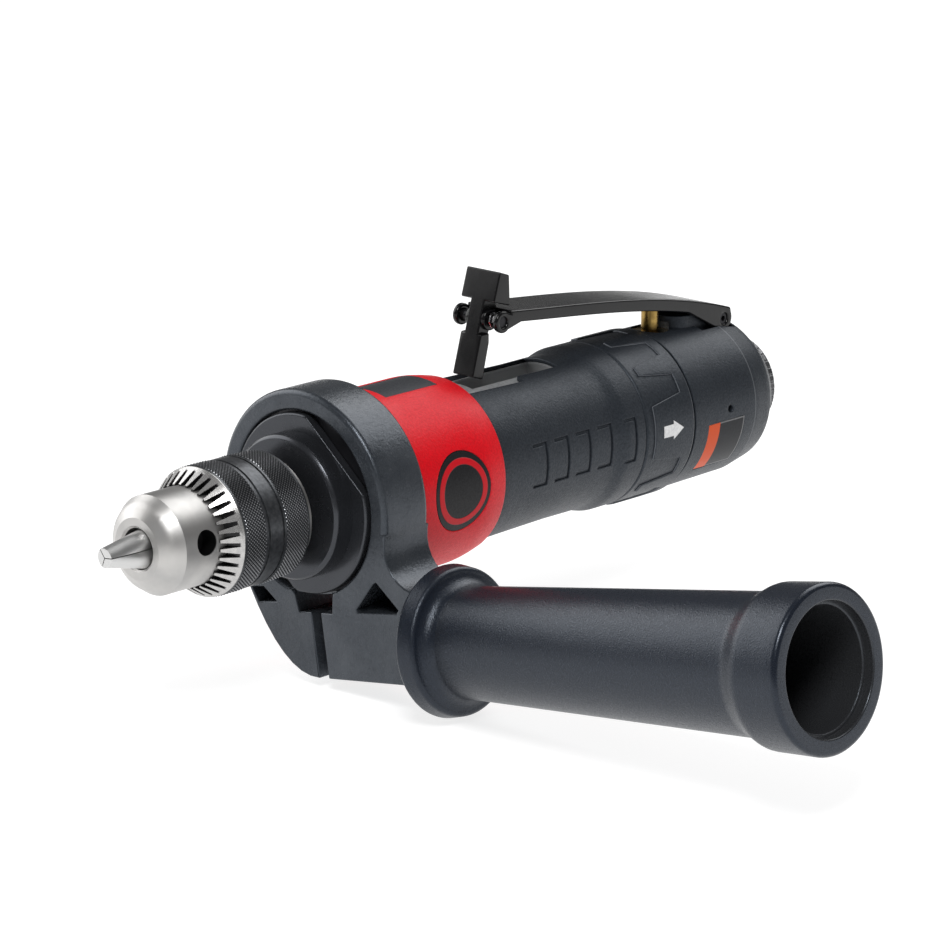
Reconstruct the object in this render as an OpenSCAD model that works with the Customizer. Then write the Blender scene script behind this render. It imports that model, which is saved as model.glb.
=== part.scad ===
// In-line air drill: keyed three-jaw chuck, lock-off throttle lever, clamp-on side handle.
// +X runs forward along the spindle, +Y to the side handle, +Z up through the lever.
// x = 0 is the mouth of the air inlet.

/* [Body] */
// Inlet mouth to the rear face of the exhaust ring
rear_length = 46; // [44:0.5:50]
// Length of the exhaust ring
ring_length = 20.5; // [18:0.5:23]
// Length of the grip between the exhaust ring and the red band
grip_length = 57.2; // [54:0.2:64]
// Length of the red band
band_length = 34.6; // [33:0.2:40]
// Outside radius of the grip at its waist
grip_radius = 21.4; // [21.2:0.1:22.4]
// Outside radius of the red band
band_radius = 25.2; // [24.8:0.1:26.5]

/* [Chuck] */
// Outside radius of the chuck sleeve
sleeve_radius = 16.5; // [16.4:0.1:18]
// Length of the chuck sleeve behind its toothed end
sleeve_length = 23.4; // [23:0.2:26]
// Reach of the closed jaws in front of the nose
jaw_reach = 10.5; // [9:0.25:11]
// Radius of the chuck key holes
key_hole_radius = 3.2; // [2.6:0.1:3.4]
// Number of teeth on the sleeve for the chuck key
key_teeth = 36; // [24:1:40]

/* [Throttle lever] */
// Width of the throttle lever
lever_width = 16; // [15.6:0.2:18]
// Height of the lock head over its pivot
lock_head_height = 13; // [11:0.2:16]

/* [Side handle] */
// Face of the flange to the open end
handle_length = 121.7; // [105:1:130]
// Outside radius of the open end
handle_end_radius = 20.2; // [19.6:0.1:21.5]
// Width of the clamp collar
collar_width = 16; // [15:0.5:18]
// Angle that the clamp collar is turned round the nose, in degrees
collar_clock = 9.1; // [0:0.1:30]

/* [Hidden] */
$fn = 64;
// Overrun of every cut past the surface it opens
over = 1;
// Gaps: running fit, seat between still pieces, free air between moving ones
run_gap = 0.05;
seat_gap = 0.02;
free_gap = 0.3;

// Stations along the tool
ring_rear_x = rear_length;
ring_front_x = ring_rear_x + ring_length;
band_rear_x = ring_front_x + grip_length;
collar_rear_x = band_rear_x + band_length;
collar_front_x = collar_rear_x + collar_width;
sleeve_stand = 12.3;
sleeve_rear_x = collar_front_x + sleeve_stand;
sleeve_front_x = sleeve_rear_x + sleeve_length;
nose_length = 20.65;
nose_x = sleeve_front_x + nose_length;
jaw_tip_x = nose_x + jaw_reach;

// Motor case under the grip
grip_wall = 1.1;
case_radius = grip_radius - grip_wall;

// Rear housing and inlet
cap_edge_share = 0.987;
cap_round_share = 0.925;
cap_end_share = 0.779;
cap_face_share = 0.69;
rear_rise = 1.2;
rear_radius = grip_radius + rear_rise;
cap_edge_x = 20;
cap_edge_radius = rear_radius * cap_edge_share;
cap_round_x = 12;
cap_round_radius = rear_radius * cap_round_share;
cap_end_x = 7.4;
cap_end_radius = rear_radius * cap_end_share;
cap_face_x = 6;
cap_face_radius = rear_radius * cap_face_share;
spigot_length = 8;
bush_rim = 2.6;
bush_wall = 3.5;
bush_length = 20;
bush_chamfer = 0.8;
bush_flutes = 40;
flute_radius = 0.5;
inlet_radius = 5.7;
inlet_depth = 14;
throat_step = 1.3;
inlet_throat = inlet_radius - throat_step;
passage_radius = inlet_throat;
screen_x = 16;
screen_thickness = 0.8;
screen_hole = 0.5;
screen_pitch = 1.5;
screen_rows = 2;
seal_radius = 0.9;
seal_seat = 1.6;
bush_spigot_radius = inlet_radius + bush_wall;
seal_ring_radius = bush_spigot_radius + seal_seat;
bush_flange_radius = seal_ring_radius + bush_rim;
air_drop = 8;
side_hole_radius = 1;
side_hole_depth = 2;
side_hole_x = 31;
side_hole_angle = 4;
label_depth = 0.4;
label_x = 32.5;
label_inset = 0.2;
label_radius = rear_radius - label_inset;
label_angle = 23;
label_half_angle = 19;
label_half_length = 7.6;

// Throttle valve, standing across the rear housing
valve_back = 6.5;
valve_x = ring_rear_x - valve_back;
pin_radius = 2.4;
pin_foot = 2;
valve_head_radius = 3.8;
valve_head_height = 3;
valve_bore = 5;
plug_inset = 1.4;
plug_foot = rear_radius - plug_inset;
plug_length = 7.2;
valve_floor = plug_length - plug_foot;
valve_seat_low = 2.3;
valve_seat_high = 6;
valve_seat_bore = 3.1;
bush_low = 11;
guide_radius = 4.2;
guide_flange = 5.2;
guide_flange_height = 1.2;
guide_inset = 1.2;
guide_top = rear_radius - guide_inset;
plug_radius = 6.4;
plug_socket = 2.6;
plug_socket_depth = 4;
spring_radius = 2.9;
spring_wire = 0.45;
spring_curls = 5;
spring_sides = 6;
spring_rings = 8;

// Throttle lever
pivot_x = 17;
pivot_inset = 0.4;
pivot_z = rear_radius - pivot_inset;
pivot_pin_radius = 1.5;
pivot_pin_bore = 0.8;
lever_ear_radius = 3.5;
lever_overhang = 2.9;
lever_rear_x = pivot_x - lever_overhang;
lever_rear_rise = 2.8;
lever_rear_z = pivot_z + lever_rear_rise;
lever_bow = 14.8;
lever_fade = 10.4;
lever_steps = 24;
skirt_front = 3.2;
skirt_growth = 0.4;
web_thickness = 1.8;
skirt_thickness = 1.8;
ear_blend_angle = 28;
ear_top_share = 1 / 6;
ear_low_share = 1 / 5;
fork_blend_angle = 40;
boss_half = lever_width / 2 - skirt_thickness - free_gap;
boss_rise = 3.2;
boss_top = pivot_z + boss_rise;
boss_slope = 1.1;
boss_heel = 1;
boss_reach = 19.4;
boss_front_x = pivot_x + boss_reach;
boss_overhang = 4.6;
boss_rear_x = pivot_x - boss_overhang;
pocket_drop = 4;
pocket_floor = pivot_z - pocket_drop;
pocket_reach = 10;
pocket_front_x = pivot_x + pocket_reach;
pocket_overhang = 4.4;
pocket_rear_x = pivot_x - pocket_overhang;

// Lock-off latch
lock_back = 16.3;
lock_x = band_rear_x - lock_back;
lock_rise = 16.35;
lock_z = case_radius + lock_rise;
lock_pin_radius = 1.4;
lock_pin_inset = 0.6;
lock_boss = 2.9;
lock_head_half = 6;
lock_neck_half = 2.4;
lock_leg_half = 3.7;
lock_boss_half = 3.4;
lock_foot = 15.5;
lock_toe_rise = 1.3;
lock_heel = 3.4;
lock_heel_rise = 1.9;
lock_crown_x = -0.7;
lock_crown_drop = 1.3;
lock_back_x = -4.3;
lock_nape_x = -4.6;
lock_brow_x = 1.7;
lock_knee_x = 4.2;
lock_knee_drop = 3.3;
lock_hock_x = 1;
lock_hock_drop = 5.9;
lock_toe_x = 7.4;
lock_sole_x = 3.5;
lock_shin_x = -1;
ear_thickness = 1.6;
ear_inner = lever_width / 2 - ear_thickness;
lever_setback = 2.95;
lever_front_x = lock_x - lever_setback;
lever_front_rise = 2.65;
lever_front_z = lock_z + lever_front_rise;
valve_share = (valve_x - lever_rear_x) / (lever_front_x - lever_rear_x);
pin_gap = 0.45;
pin_chamfer = 1;
pin_top = lever_top(valve_share) - web_thickness - pin_gap;
coil_radius = 2.05;
coil_wire = 0.28;
coil_curls = 1.5;

// Grip, motor case and the slot that the lock's leg folds into
case_wall = 5.3;
motor_radius = case_radius - case_wall;
rear_stop = 2;
case_bore_rear = motor_radius - rear_stop;
slot_wall = 1;
slot_floor = motor_radius + slot_wall;
slot_side_gap = 0.9;
slot_half = lock_leg_half + slot_side_gap;
slot_ahead = 8.6;
slot_front_x = lock_x + slot_ahead;
slot_behind = 23;
slot_rear_x = lock_x - slot_behind;
window_step_behind = 7;
window_step_x = lock_x - window_step_behind;
window_step_rim = 1.4;
window_step_half = slot_half + window_step_rim;
window_rim = 3.8;
window_half = slot_half + window_rim;
grip_front_rise = 0.6;
grip_front_radius = grip_radius + grip_front_rise;
grip_rear_rise = 1.3;
grip_rear_radius = grip_radius + grip_rear_rise;
grip_waist_share = 0.45;
grip_swell_share = 0.12;
grip_ease_share = 0.2;
grip_ease_rise = 0.1;
grip_chamfer = 1;
bracket_count = 5;
bracket_pitch = 8.6;
bracket_width = 0.8;
bracket_depth = 0.5;
bracket_arm = 5.4;
bracket_half_angle = 14.5;
bracket_tilt_angle = 1.5;
bracket_first = 18.9;

// Exhaust ring
journal_step = 0.35;
journal_radius = case_radius - journal_step;
ring_rise = 1.8;
ring_radius = grip_radius + ring_rise;
ring_lip = 0.6;
pocket_slots = 12;
pocket_phase_angle = 1.7;
pocket_sink = 0.5;
pocket_long = 4.65;
pocket_short = 2.6;
pocket_rear_lip = 5.1;
pocket_front_lip = 3.1;
port_radius = 2;
port_count = 8;
felt_depth = 2.55;
felt_inner = journal_radius - felt_depth;
felt_inset = 0.35;
felt_outer = journal_radius - felt_inset;
felt_margin = 4;
arrow_length = 8;
arrow_head = 4;
arrow_half = 2.6;
arrow_stem = 1.6;
arrow_angle = 1.3;
arrow_rise = 0.15;
arrow_margin = 6.1;

// Red band
band_edge_drop = 1.4;
band_edge_radius = band_radius - band_edge_drop;
band_round = 10;
band_wall = 5.2;
band_bore = band_radius - band_wall;
band_front_gap = 0.3;
badge_stand = 17.3;
badge_x = band_rear_x + badge_stand;
badge_angle = 2;
badge_half_height = 10.4;
badge_half_length = 10.15;
badge_depth = 0.4;
badge_sink = 0.1;
badge_sides = 48;
band_steps = 5;
top_window_front = 26.5;
top_window_rear = 7.5;
top_window_half = 6.4;
top_window_depth = 0.5;
top_window_sink = 0.2;

// Gear case and nose
gear_wall = 4.35;
gear_bore = band_bore - gear_wall;
spigot_step = 1;
spigot_bore = motor_radius - spigot_step;
spigot_wall = 2.9;
case_spigot = spigot_bore + spigot_wall;
case_spigot_length = 5.5;
clamp_inset = 1.2;
clamp_bore = band_radius - clamp_inset;
seat_radius = clamp_bore - run_gap;
seat_stop = 2;
seat_length = collar_width - seat_stop;
bearing_gap = 0.15;
bearing_radius = gear_bore - bearing_gap;
bearing_rear_x = collar_rear_x + seat_stop;
bearing_width = 11;
race_share = 0.155;
race_wall = bearing_radius * race_share;
shaft_share = 0.4516;
shaft_radius = bearing_radius * shaft_share;
race_stop = 2.3;
race_step = 2;
race_stop_radius = bearing_radius - race_step;
ball_gap = 0.34;
ball_radius = (bearing_radius - shaft_radius) / 2 - race_wall - ball_gap;
ball_count = 11;
ball_circle = (bearing_radius + shaft_radius) / 2;
cap_step_gap = 0.6;
cap_step_radius = clamp_bore - cap_step_gap;
cap_nose_step = 4.6;
cap_nose_radius = cap_step_radius - cap_nose_step;
cap_flat_rise = 0.4;
cap_flat = cap_nose_radius + cap_flat_rise;
cap_flat_angle = 50;
cap_step_stand = 0.7;
cap_step_x = collar_front_x + cap_step_stand;
cap_nose_stand = 6.5;
cap_nose_x = collar_front_x + cap_nose_stand;
cap_bore_gap = 1.4;
cap_bore = shaft_radius + cap_bore_gap;
cap_chamfer = 0.8;

// Planetary gears
ring_gear_radius = gear_bore - run_gap;
sun_teeth = 9;
planet_teeth = 12;
ring_teeth = sun_teeth + 2 * planet_teeth;
planet_count = 3;
ring_pitch_share = 11 / 13;
gear_module = 2 * ring_gear_radius * ring_pitch_share / ring_teeth;
pressure_angle = 25;
addendum_share = 0.8;
addendum = addendum_share * gear_module;
dedendum = gear_module;
backlash = 0.14;
flank_steps = 4;
sun_pitch = gear_module * sun_teeth / 2;
planet_pitch = gear_module * planet_teeth / 2;
ring_pitch = gear_module * ring_teeth / 2;
planet_circle = sun_pitch + planet_pitch;
gear_stand = 5.6;
gear_rear_x = band_rear_x + gear_stand;
gear_width = 13.6;
gear_front_x = gear_rear_x + gear_width;
planet_pin_share = 5 / 12;
planet_pin_radius = planet_pitch * planet_pin_share;
carrier_rim = 1.9;
carrier_radius = planet_circle + planet_pin_radius + carrier_rim;
carrier_thickness = 5.5;
carrier_gap = 0.6;

// Vane motor
cylinder_wall = 3.5;
motor_bore = motor_radius - cylinder_wall;
motor_offset = 1;
rotor_radius = motor_bore - motor_offset - free_gap;
rotor_shaft = 4;
neck_share = 0.75;
rotor_neck = sun_pitch * neck_share;
plate_length = 8;
rear_plate_back = 6.5;
rear_plate_x = ring_front_x - rear_plate_back;
cylinder_rear_x = rear_plate_x + plate_length;
front_plate_x = band_rear_x - case_spigot_length - plate_length;
rotor_bearing_wall = 4;
rotor_bearing_radius = rotor_shaft + rotor_bearing_wall;
rotor_bearing_inset = 1;
end_gap = 0.2;
vane_count = 5;
vane_thickness = 1.6;
vane_slot = 1.7;
vane_depth = 6;
vane_inset = 0.3;

// Chuck
cone_drop = 3.83;
body_radius = sleeve_radius - cone_drop;
bit_bore = 5.3;
nose_wall = 2.57;
nose_radius = bit_bore + nose_wall;
nose_hole_rise = 0.3;
nose_hole = bit_bore + nose_hole_rise;
shoulder_back = 4.8;
nose_swell = 0.5;
nose_chamfer = 0.5;
tooth_length = 5;
tooth_tip = 0.5;
tooth_rim = 0.35;
tooth_floor = 2.6;
tooth_bottom = 0.45;
tooth_slope_share = 0.15;
tooth_depth = 4;
sleeve_taper = 0.3;
sleeve_rear_radius = sleeve_radius - sleeve_taper;
sleeve_chamfer = 0.8;
sleeve_wall = 1.4;
cavity_radius = sleeve_radius - sleeve_wall;
lip_step = 0.7;
flange_radius = cavity_radius - lip_step;
sleeve_lip = 4.2;
band_groove = 0.35;
groove_share_a = 0.36;
groove_share_b = 0.57;
body_overhang = 1.6;
body_rear_x = sleeve_rear_x - body_overhang;
waist_drop = 0.77;
body_waist = body_radius - waist_drop;
nut_back = 6;
nut_rear_x = sleeve_front_x - nut_back;
nut_length = 5;
nut_sink = 3.07;
nut_core = body_radius - nut_sink;
nut_end_gap = 0.12;
jaw_count = 3;
jaw_angle = 14;
jaw_radius = 2.9;
jaw_axis_at_tip = -0.6;
jaw_length = 31;
jaw_lead = 6;
jaw_seam = 0.14;
jaw_gap = 0.06;
jaw_first_angle = 67.5;
jaw_envelope_gap = 0.2;
thread_step = 0.6;
thread_radius = bit_bore - thread_step;
thread_length = 12;
screw_radius = 2.4;
screw_head_step = 0.5;
screw_head_radius = thread_radius - screw_head_step;
screw_head = 3;
screw_length = 11;
screw_slot = 1;
key_hole_stand = 9;
key_hole_x = sleeve_front_x + key_hole_stand;
key_hole_depth = 5;
key_hole_first_angle = 7.5;

// Clamp collar, in its own turned frame
clamp_wall = 5.3;
clamp_radius = clamp_bore + clamp_wall;
clamp_round = 1.6;
round_steps = 4;
handle_x = (collar_rear_x + collar_front_x) / 2;
handle_drop = 6.1;
handle_z = -clamp_radius - handle_drop;
block_drop = 10.3;
block_foot = handle_z - block_drop;
block_rise = 13.6;
block_top = handle_z + block_rise;
block_reach = 8.7;
block_end_y = clamp_radius + block_reach;
slot_y0 = -1.5;
slot_y1 = 1.8;
head_half = 6.9;
head_slope = 1;
head_sink = 4.4;
head_low = -clamp_bore - head_sink;
head_high = over - clamp_bore;
pocket_back = 4;
pocket_depth = collar_width - pocket_back;
bolt_radius = 4;
bolt_hole_gap = 0.2;
bolt_hole = bolt_radius + bolt_hole_gap;
bolt_head_rim = 2.3;
bolt_head_radius = bolt_radius + bolt_head_rim;
bolt_head_pocket = bolt_head_radius + bolt_hole_gap;
bolt_head_back = 11;
bolt_head_y = -bolt_head_back;
bolt_head_thickness = 3.6;
bolt_reach = 20;
bolt_end_y = block_end_y + bolt_reach;
washer_rim = 3.2;
washer_radius = bolt_radius + washer_rim;
washer_thickness = 1.2;
washer_pocket = washer_radius + free_gap;
fillet_radius = 10;
fillet_z = block_top + fillet_radius;
fillet_y = sqrt(pow(clamp_radius + fillet_radius, 2) - pow(fillet_z, 2));
fillet_steps = 8;
ear_start_angle = 17;
ear_steps = 10;
ear_bend_share = 0.62;
ear_end_share = 0.06;
ear_start = clamp_radius * [-cos(ear_start_angle), -sin(ear_start_angle)];
ear_bend = [-clamp_radius * ear_bend_share, block_foot];
ear_end = [-clamp_radius * ear_end_share, block_foot];
right_pocket_shares = [[0.785, -0.669], [0.749, -0.689], [0.51, -0.922], [0.519, -0.945],
    [0.99, -0.932], [1.017, -0.9]];
left_pocket_shares = [[-0.768, -0.775], [-0.7, -0.905], [-0.485, -0.893], [-0.621, -0.768]];

// Side handle
flange_y = block_end_y + free_gap;
flange_thickness = 5.6;
flange_inset = 0.9;
flange_front_radius = handle_end_radius - flange_inset;
flange_taper = 0.5;
flange_rear_radius = flange_front_radius - flange_taper;
flange_round = 1.2;
neck_fillet = 3.6;
end_rise = 3;
grip_end_radius = handle_end_radius - end_rise;
taper_drop = 3.1;
neck_radius = grip_end_radius - taper_drop;
grip_end_share = 0.84;
collar_rise_share = 0.06;
handle_end_y = flange_y + handle_length;
end_taper = 0.4;
end_wall = 4.5;
handle_bore = handle_end_radius - end_wall;
handle_mouth = 0.8;
hollow_floor = 26;
hollow_wall = 3.1;
hollow_floor_radius = neck_radius - hollow_wall;
rib_count = 4;
rib_length = 30;
rib_half = 1.6;
rib_rise = 1.5;
rib_radius = hollow_floor_radius + rib_rise;
insert_wall = 3;
insert_radius = bolt_radius + insert_wall;
insert_length = 22;

module turned(profile) rotate([0, 90, 0]) rotate_extrude() polygon(profile);
module tube(x0, x1, outer, inner)
    turned([[inner, x0], [outer, x0], [outer, x1], [inner, x1]]);
module rod(x0, x1, r) translate([x0, 0, 0]) rotate([0, 90, 0]) cylinder(h = x1 - x0, r = r);
function arc(cx, cy, r, from, to, steps) = [for (i = [0 : steps])
    let (a = from + (to - from) * i / steps)
    [cx + r * cos(a), cy + r * sin(a)]];
module side_slab(half) rotate([90, 0, 0]) linear_extrude(2 * half, center = true) children();
module cross_plate(x0, x1)
    translate([x0, 0, 0]) rotate([90, 0, 90]) linear_extrude(x1 - x0) children();
module post(x, z0, z1, r) translate([x, 0, z0]) cylinder(h = z1 - z0, r = r);
module cross_pin(x, z, half, r)
    translate([x, 0, z]) rotate([90, 0, 0]) cylinder(h = 2 * half, r = r, center = true);
module clocked() rotate([collar_clock, 0, 0]) children();
module handle_spun(profile) clocked() translate([handle_x, 0, handle_z])
    rotate([-90, 0, 0]) rotate_extrude() polygon(profile);
module handle_rod(y0, y1, r) translate([handle_x, y0, handle_z])
    rotate([-90, 0, 0]) cylinder(h = y1 - y0, r = r);
// Turns children that face +Z round the tool axis to an angle measured from +Y up
module facing(angle) rotate([angle - 90, 0, 0]) children();

// An unbroken round wire wound about +Z
function coil_ring(turns, pitch, r, wire, i) = let (
    a = 360 * i / spring_rings, lift = pitch * i / spring_rings,
    lean = atan2(pitch, 2 * PI * r))
    [for (k = [0 : spring_sides - 1]) let (
        b = 360 * k / spring_sides, u = wire * cos(b), v = wire * sin(b))
        [(r + u) * cos(a) + v * sin(lean) * sin(a),
         (r + u) * sin(a) - v * sin(lean) * cos(a), lift + v * cos(lean)]];
module coil(turns, pitch, r, wire) {
    last = round(turns * spring_rings);
    points = [for (i = [0 : last]) each coil_ring(turns, pitch, r, wire, i)];
    walls = [for (i = [0 : last - 1], k = [0 : spring_sides - 1]) let (
        n = (k + 1) % spring_sides, a = i * spring_sides, b = a + spring_sides)
        each [[a + k, b + k, b + n], [a + k, b + n, a + n]]];
    ends = [[for (k = [0 : spring_sides - 1]) k],
        [for (k = [spring_sides - 1 : -1 : 0]) last * spring_sides + k]];
    echo(least_self_gap = pitch * cos(atan2(pitch, 2 * PI * r)) - 2 * wire);
    polyhedron(points, concat(walls, ends));
}

// Involute gear outline with its first tooth on the +x side of the sketch
function involute(angle) = tan(angle) * 180 / PI - angle;
function half_tooth(teeth, pitch_r, slack, r) = let (base = pitch_r * cos(pressure_angle))
    90 / teeth + involute(pressure_angle) - involute(acos(min(1, base / max(r, base))))
    - slack / pitch_r * 90 / PI;
function gear_outline(teeth, pitch_r, low, high, slack) =
    [for (i = [0 : teeth - 1], j = [0 : 2 * flank_steps + 1]) let (
        k = j <= flank_steps ? j : 2 * flank_steps + 1 - j,
        r = low + (high - low) * k / flank_steps,
        h = half_tooth(teeth, pitch_r, slack, r),
        a = 360 * i / teeth + (j <= flank_steps ? -h : h))
        [r * cos(a), r * sin(a)]];
function planet_angle(i) = 360 * i / planet_count;
function planet_phase(i) = planet_angle(i) + 180 - 180 / planet_teeth
    + planet_angle(i) * sun_teeth / planet_teeth;
module gear_sketch(x0, x1) translate([x0, 0, 0]) rotate([0, 90, 0])
    linear_extrude(x1 - x0) children();

// Rear end of the tool
module rear_housing() color("#2b2e33") difference() {
    union() {
        turned([[0, cap_face_x], [cap_face_radius, cap_face_x], [cap_end_radius, cap_end_x],
            [cap_round_radius, cap_round_x], [cap_edge_radius, cap_edge_x],
            [rear_radius, ring_rear_x], [case_bore_rear - seat_gap, ring_rear_x],
            [case_bore_rear - seat_gap, ring_rear_x + spigot_length],
            [0, ring_rear_x + spigot_length]]);
        saddle();
    }
    for (side = [-1, 1]) translate([pocket_rear_x, side > 0 ? boss_half : -boss_half
        - skirt_thickness - 2 * free_gap, pocket_floor])
        cube([pocket_front_x - pocket_rear_x, skirt_thickness + 2 * free_gap, boss_top]);
    rod(cap_face_x - over, bush_length, bush_spigot_radius + seat_gap);
    rod(bush_length - over, valve_x, passage_radius);
    translate([0, 0, -air_drop]) rod(valve_x, ring_rear_x + spigot_length + over, passage_radius);
    post(valve_x, valve_floor - over, bush_low, valve_bore);
    post(valve_x, bush_low - over, rear_radius + over, guide_radius + seat_gap);
    post(valve_x, guide_top - guide_flange_height, rear_radius + over, guide_flange + seat_gap);
    post(valve_x, -rear_radius - over, valve_floor, plug_radius + seat_gap);
    cross_pin(pivot_x, pivot_z, boss_half + over, pivot_pin_radius + seat_gap);
    facing(side_hole_angle) translate([side_hole_x, 0, rear_radius - side_hole_depth])
        cylinder(h = side_hole_depth + over, r = side_hole_radius);
    label_place(0, rear_radius + over, 0);
}
// The hump under the lever that carries its pivot, rounded at its front
module saddle() intersection() {
    side_slab(boss_half) polygon([[boss_rear_x, pocket_floor - over],
        [boss_rear_x, pivot_z - boss_heel],
        [pivot_x - lever_ear_radius / 2, boss_top - boss_slope], [boss_front_x, boss_top],
        [boss_front_x, pocket_floor - over]]);
    translate([0, 0, pocket_floor - over]) linear_extrude(boss_top) union() {
        translate([boss_rear_x, -boss_half]) square([boss_front_x - boss_half - boss_rear_x,
            2 * boss_half]);
        translate([boss_front_x - boss_half, 0]) circle(r = boss_half);
    }
}
// A curved sector on the near side of the rear housing, for a bare label plate
module label_place(shrink, top, lift) intersection() {
    tube(label_x - label_half_length + shrink, label_x + label_half_length - shrink,
        top, label_radius - label_depth + lift);
    facing(-label_angle) cross_plate(label_x - label_half_length, label_x + label_half_length)
        polygon([[0, 0],
        [2 * rear_radius * sin(label_half_angle), 2 * rear_radius * cos(label_half_angle)],
        [-2 * rear_radius * sin(label_half_angle), 2 * rear_radius * cos(label_half_angle)]]);
}
module label_plate() color("#3a3d42") label_place(seat_gap, label_radius - seat_gap, 0);
module inlet_bushing() color("#3a3c40") difference() {
    turned([[inlet_radius, 0], [bush_flange_radius - bush_chamfer, 0],
        [bush_flange_radius, bush_chamfer], [bush_flange_radius, cap_face_x],
        [bush_spigot_radius, cap_face_x], [bush_spigot_radius, bush_length],
        [inlet_throat, bush_length], [inlet_throat, inlet_depth], [inlet_radius, inlet_depth]]);
    for (i = [0 : bush_flutes - 1]) rotate([360 * i / bush_flutes, 0, 0])
        translate([0, 0, bush_flange_radius + flute_radius / 2])
        rod(-over, cap_face_x - bush_chamfer, flute_radius);
    rotate([0, 90, 0]) translate([0, 0, cap_face_x]) rotate_extrude()
        translate([seal_ring_radius, 0]) circle(r = seal_radius + seat_gap);
}
module inlet_seal() color("#17181a") intersection() {
    rotate([0, 90, 0]) translate([0, 0, cap_face_x]) rotate_extrude()
        translate([seal_ring_radius, 0]) circle(r = seal_radius);
    tube(0, cap_face_x - seat_gap, bush_flange_radius, bush_spigot_radius);
}
module inlet_screen() color("#8d9196") difference() {
    rod(screen_x, screen_x + screen_thickness, inlet_throat - seat_gap);
    for (i = [-screen_rows : screen_rows], j = [-screen_rows : screen_rows])
        if (norm([i, j]) < screen_rows + 1 / 2)
        translate([0, i * screen_pitch, j * screen_pitch])
        rod(screen_x - over, screen_x + screen_thickness + over, screen_hole);
}
module valve_guide() color("#b08b3c") difference() {
    union() {
        post(valve_x, bush_low, guide_top - over / 2, guide_radius);
        post(valve_x, guide_top - guide_flange_height, guide_top, guide_flange);
    }
    post(valve_x, bush_low - over, guide_top + over, pin_radius + run_gap);
}
module valve_seat() color("#7c8087") difference() {
    post(valve_x, valve_seat_low, valve_seat_high, valve_bore - seat_gap);
    post(valve_x, valve_seat_low - over, valve_seat_high + over, valve_seat_bore);
}
module valve_plug() color("#4a4d52") difference() {
    post(valve_x, -plug_foot, valve_floor, plug_radius);
    translate([valve_x, 0, -plug_foot - over])
        cylinder(h = plug_socket_depth + over, r = plug_socket, $fn = 6);
}
module valve_spring() color("#b9bcc0") {
    low = valve_floor + spring_wire + seat_gap;
    high = pin_foot - valve_head_height - spring_wire - free_gap / 2;
    translate([valve_x, 0, low]) coil(spring_curls, (high - low) / spring_curls, spring_radius,
        spring_wire);
}
module valve_pin() color("#b5893a") union() {
    post(valve_x, pin_foot, pin_top - pin_chamfer, pin_radius);
    translate([valve_x, 0, pin_top - pin_chamfer]) cylinder(h = pin_chamfer, r1 = pin_radius,
        r2 = pin_radius / 2);
}
module valve_head() color("#23262a") post(valve_x, pin_foot - valve_head_height, pin_foot,
    valve_head_radius);
module pivot_pin() color("#8f9296") difference() {
    cross_pin(pivot_x, pivot_z, lever_width / 2 - skirt_thickness / 4, pivot_pin_radius);
    cross_pin(pivot_x, pivot_z, lever_width, pivot_pin_bore);
}

// Throttle lever: a channel open below, forked at the front for the lock
function lever_top(s) = lever_rear_z + (lever_front_z - lever_rear_z) * s
    + s * (1 - s) * (lever_bow - lever_fade * s);
function lever_at(s) = lever_rear_x + (lever_front_x - lever_rear_x) * s;
function lever_depth(s) = skirt_front + skirt_growth * (1 - s);
function lever_edge(drop, flare) = [for (i = [0 : lever_steps]) let (s = i / lever_steps)
    [lever_at(s), lever_top(s) - drop - flare * lever_depth(s)]];
function backwards(list) = [for (i = [len(list) - 1 : -1 : 0]) list[i]];
module lever_profile() {
    polygon(concat(lever_edge(0, 0), backwards(lever_edge(0, 1))));
    translate([pivot_x, pivot_z]) circle(r = lever_ear_radius);
    polygon([[pivot_x - lever_ear_radius, pivot_z], [lever_rear_x, lever_rear_z],
        [lever_at(ear_top_share), lever_top(ear_top_share)],
        [lever_at(ear_low_share), lever_top(ear_low_share) - lever_depth(ear_low_share)],
        [pivot_x + lever_ear_radius * sin(ear_blend_angle), pivot_z
            - lever_ear_radius * cos(ear_blend_angle)]]);
}
module fork_profile() {
    translate([lock_x, lock_z]) circle(r = lock_boss);
    polygon([[lock_x, lock_z + lock_boss], [lever_front_x - lock_boss, lever_front_z - web_thickness],
        [lever_front_x - 2 * lock_boss, lever_top(1) - skirt_front],
        [lock_x - lock_boss * sin(fork_blend_angle), lock_z - lock_boss * cos(fork_blend_angle)]]);
}
module throttle_lever() color("#141517") difference() {
    union() {
        difference() {
            side_slab(lever_width / 2) lever_profile();
            side_slab(lever_width / 2 - skirt_thickness) difference() {
                translate([lever_rear_x - over - lever_ear_radius, pocket_floor - over])
                    square([lever_front_x - lever_rear_x + 2 * over + lever_ear_radius, lever_front_z]);
                polygon(concat(lever_edge(web_thickness, 0), backwards(lever_edge(-lever_front_z, 0))));
            }
            side_slab(lever_width / 2 - skirt_thickness) polygon([
                [lever_rear_x - lever_ear_radius, boss_top - boss_slope - free_gap],
                [pivot_x, boss_top - boss_slope + 3 * free_gap / 2],
                    [pivot_x + 2 * lever_ear_radius, boss_top],
                [pivot_x + 2 * lever_ear_radius, pocket_floor - over],
                [lever_rear_x - lever_ear_radius, pocket_floor - over]]);
        }
        for (side = [-1, 1]) translate([0, side * (lever_width / 2 + ear_inner) / 2, 0])
            side_slab((lever_width / 2 - ear_inner) / 2) fork_profile();
    }
    cross_pin(pivot_x, pivot_z, lever_width, pivot_pin_radius + run_gap);
    cross_pin(lock_x, lock_z, lever_width, lock_pin_radius + seat_gap);
}
module lock_pin() color("#a9acb0") cross_pin(lock_x, lock_z, lever_width / 2 - lock_pin_inset,
    lock_pin_radius);
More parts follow.
